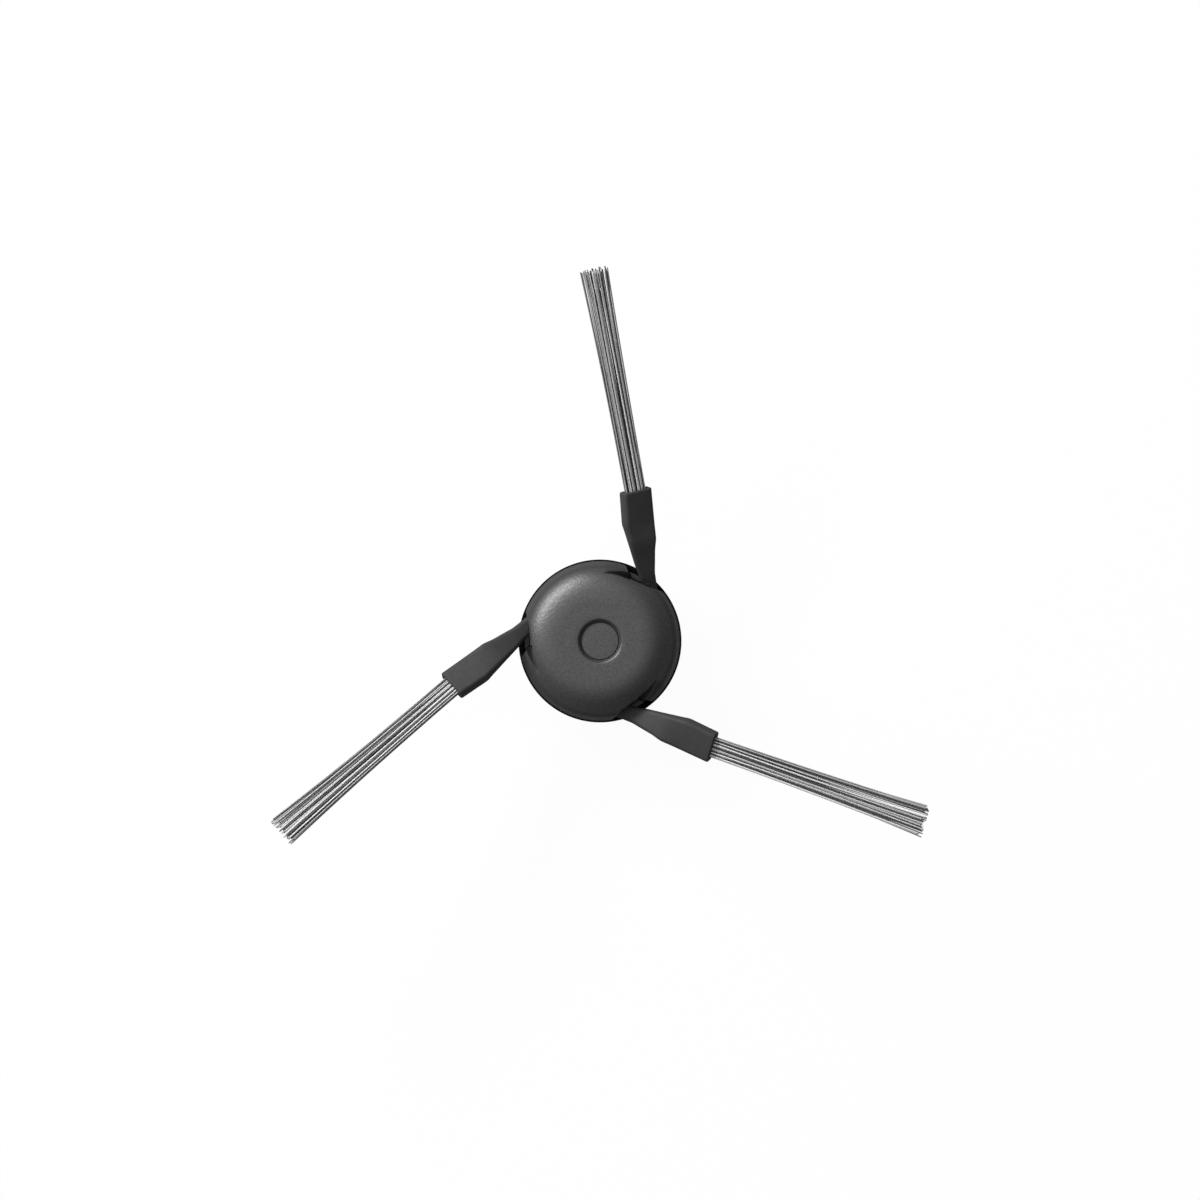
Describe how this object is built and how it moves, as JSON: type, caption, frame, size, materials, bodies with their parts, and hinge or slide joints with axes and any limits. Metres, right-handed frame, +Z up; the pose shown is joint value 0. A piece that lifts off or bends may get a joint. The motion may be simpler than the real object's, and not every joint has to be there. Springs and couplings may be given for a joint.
{
  "type": "robot vacuum side brush",
  "caption": "Side brush for a robot vacuum: a domed plastic hub with swept soft rubber arms, each holding a flat tuft of long nylon bristles, pushed onto a square drive shaft.",
  "frame": {"origin": "on the hub's axis at the end of the drive boss, at the mouth of the drive socket", "axes": "+Z up along the hub's axis from the drive socket to the crown of the cap; the first arm leaves the hub beside +Y, and the three arms follow each other anticlockwise seen from the cap"},
  "size_m": [0.1409, 0.1238, 0.0281],
  "materials": {
    "cap_plastic": "fine satin texture",
    "plug_plastic": "fine satin texture",
    "base_plastic": "satin",
    "arm_rubber": "smooth matte rubber",
    "bristle_nylon": "glossy drawn nylon"
  },
  "bodies": {
    "root": {"hub_cap": "cap_plastic", "centre_plug": "plug_plastic", "drive_base": "base_plastic", "arm_1": "arm_rubber", "arm_2": "arm_rubber", "arm_3": "arm_rubber", "bristle_tuft_1": "bristle_nylon", "bristle_tuft_2": "bristle_nylon", "bristle_tuft_3": "bristle_nylon"}
  },
  "joints": []
}
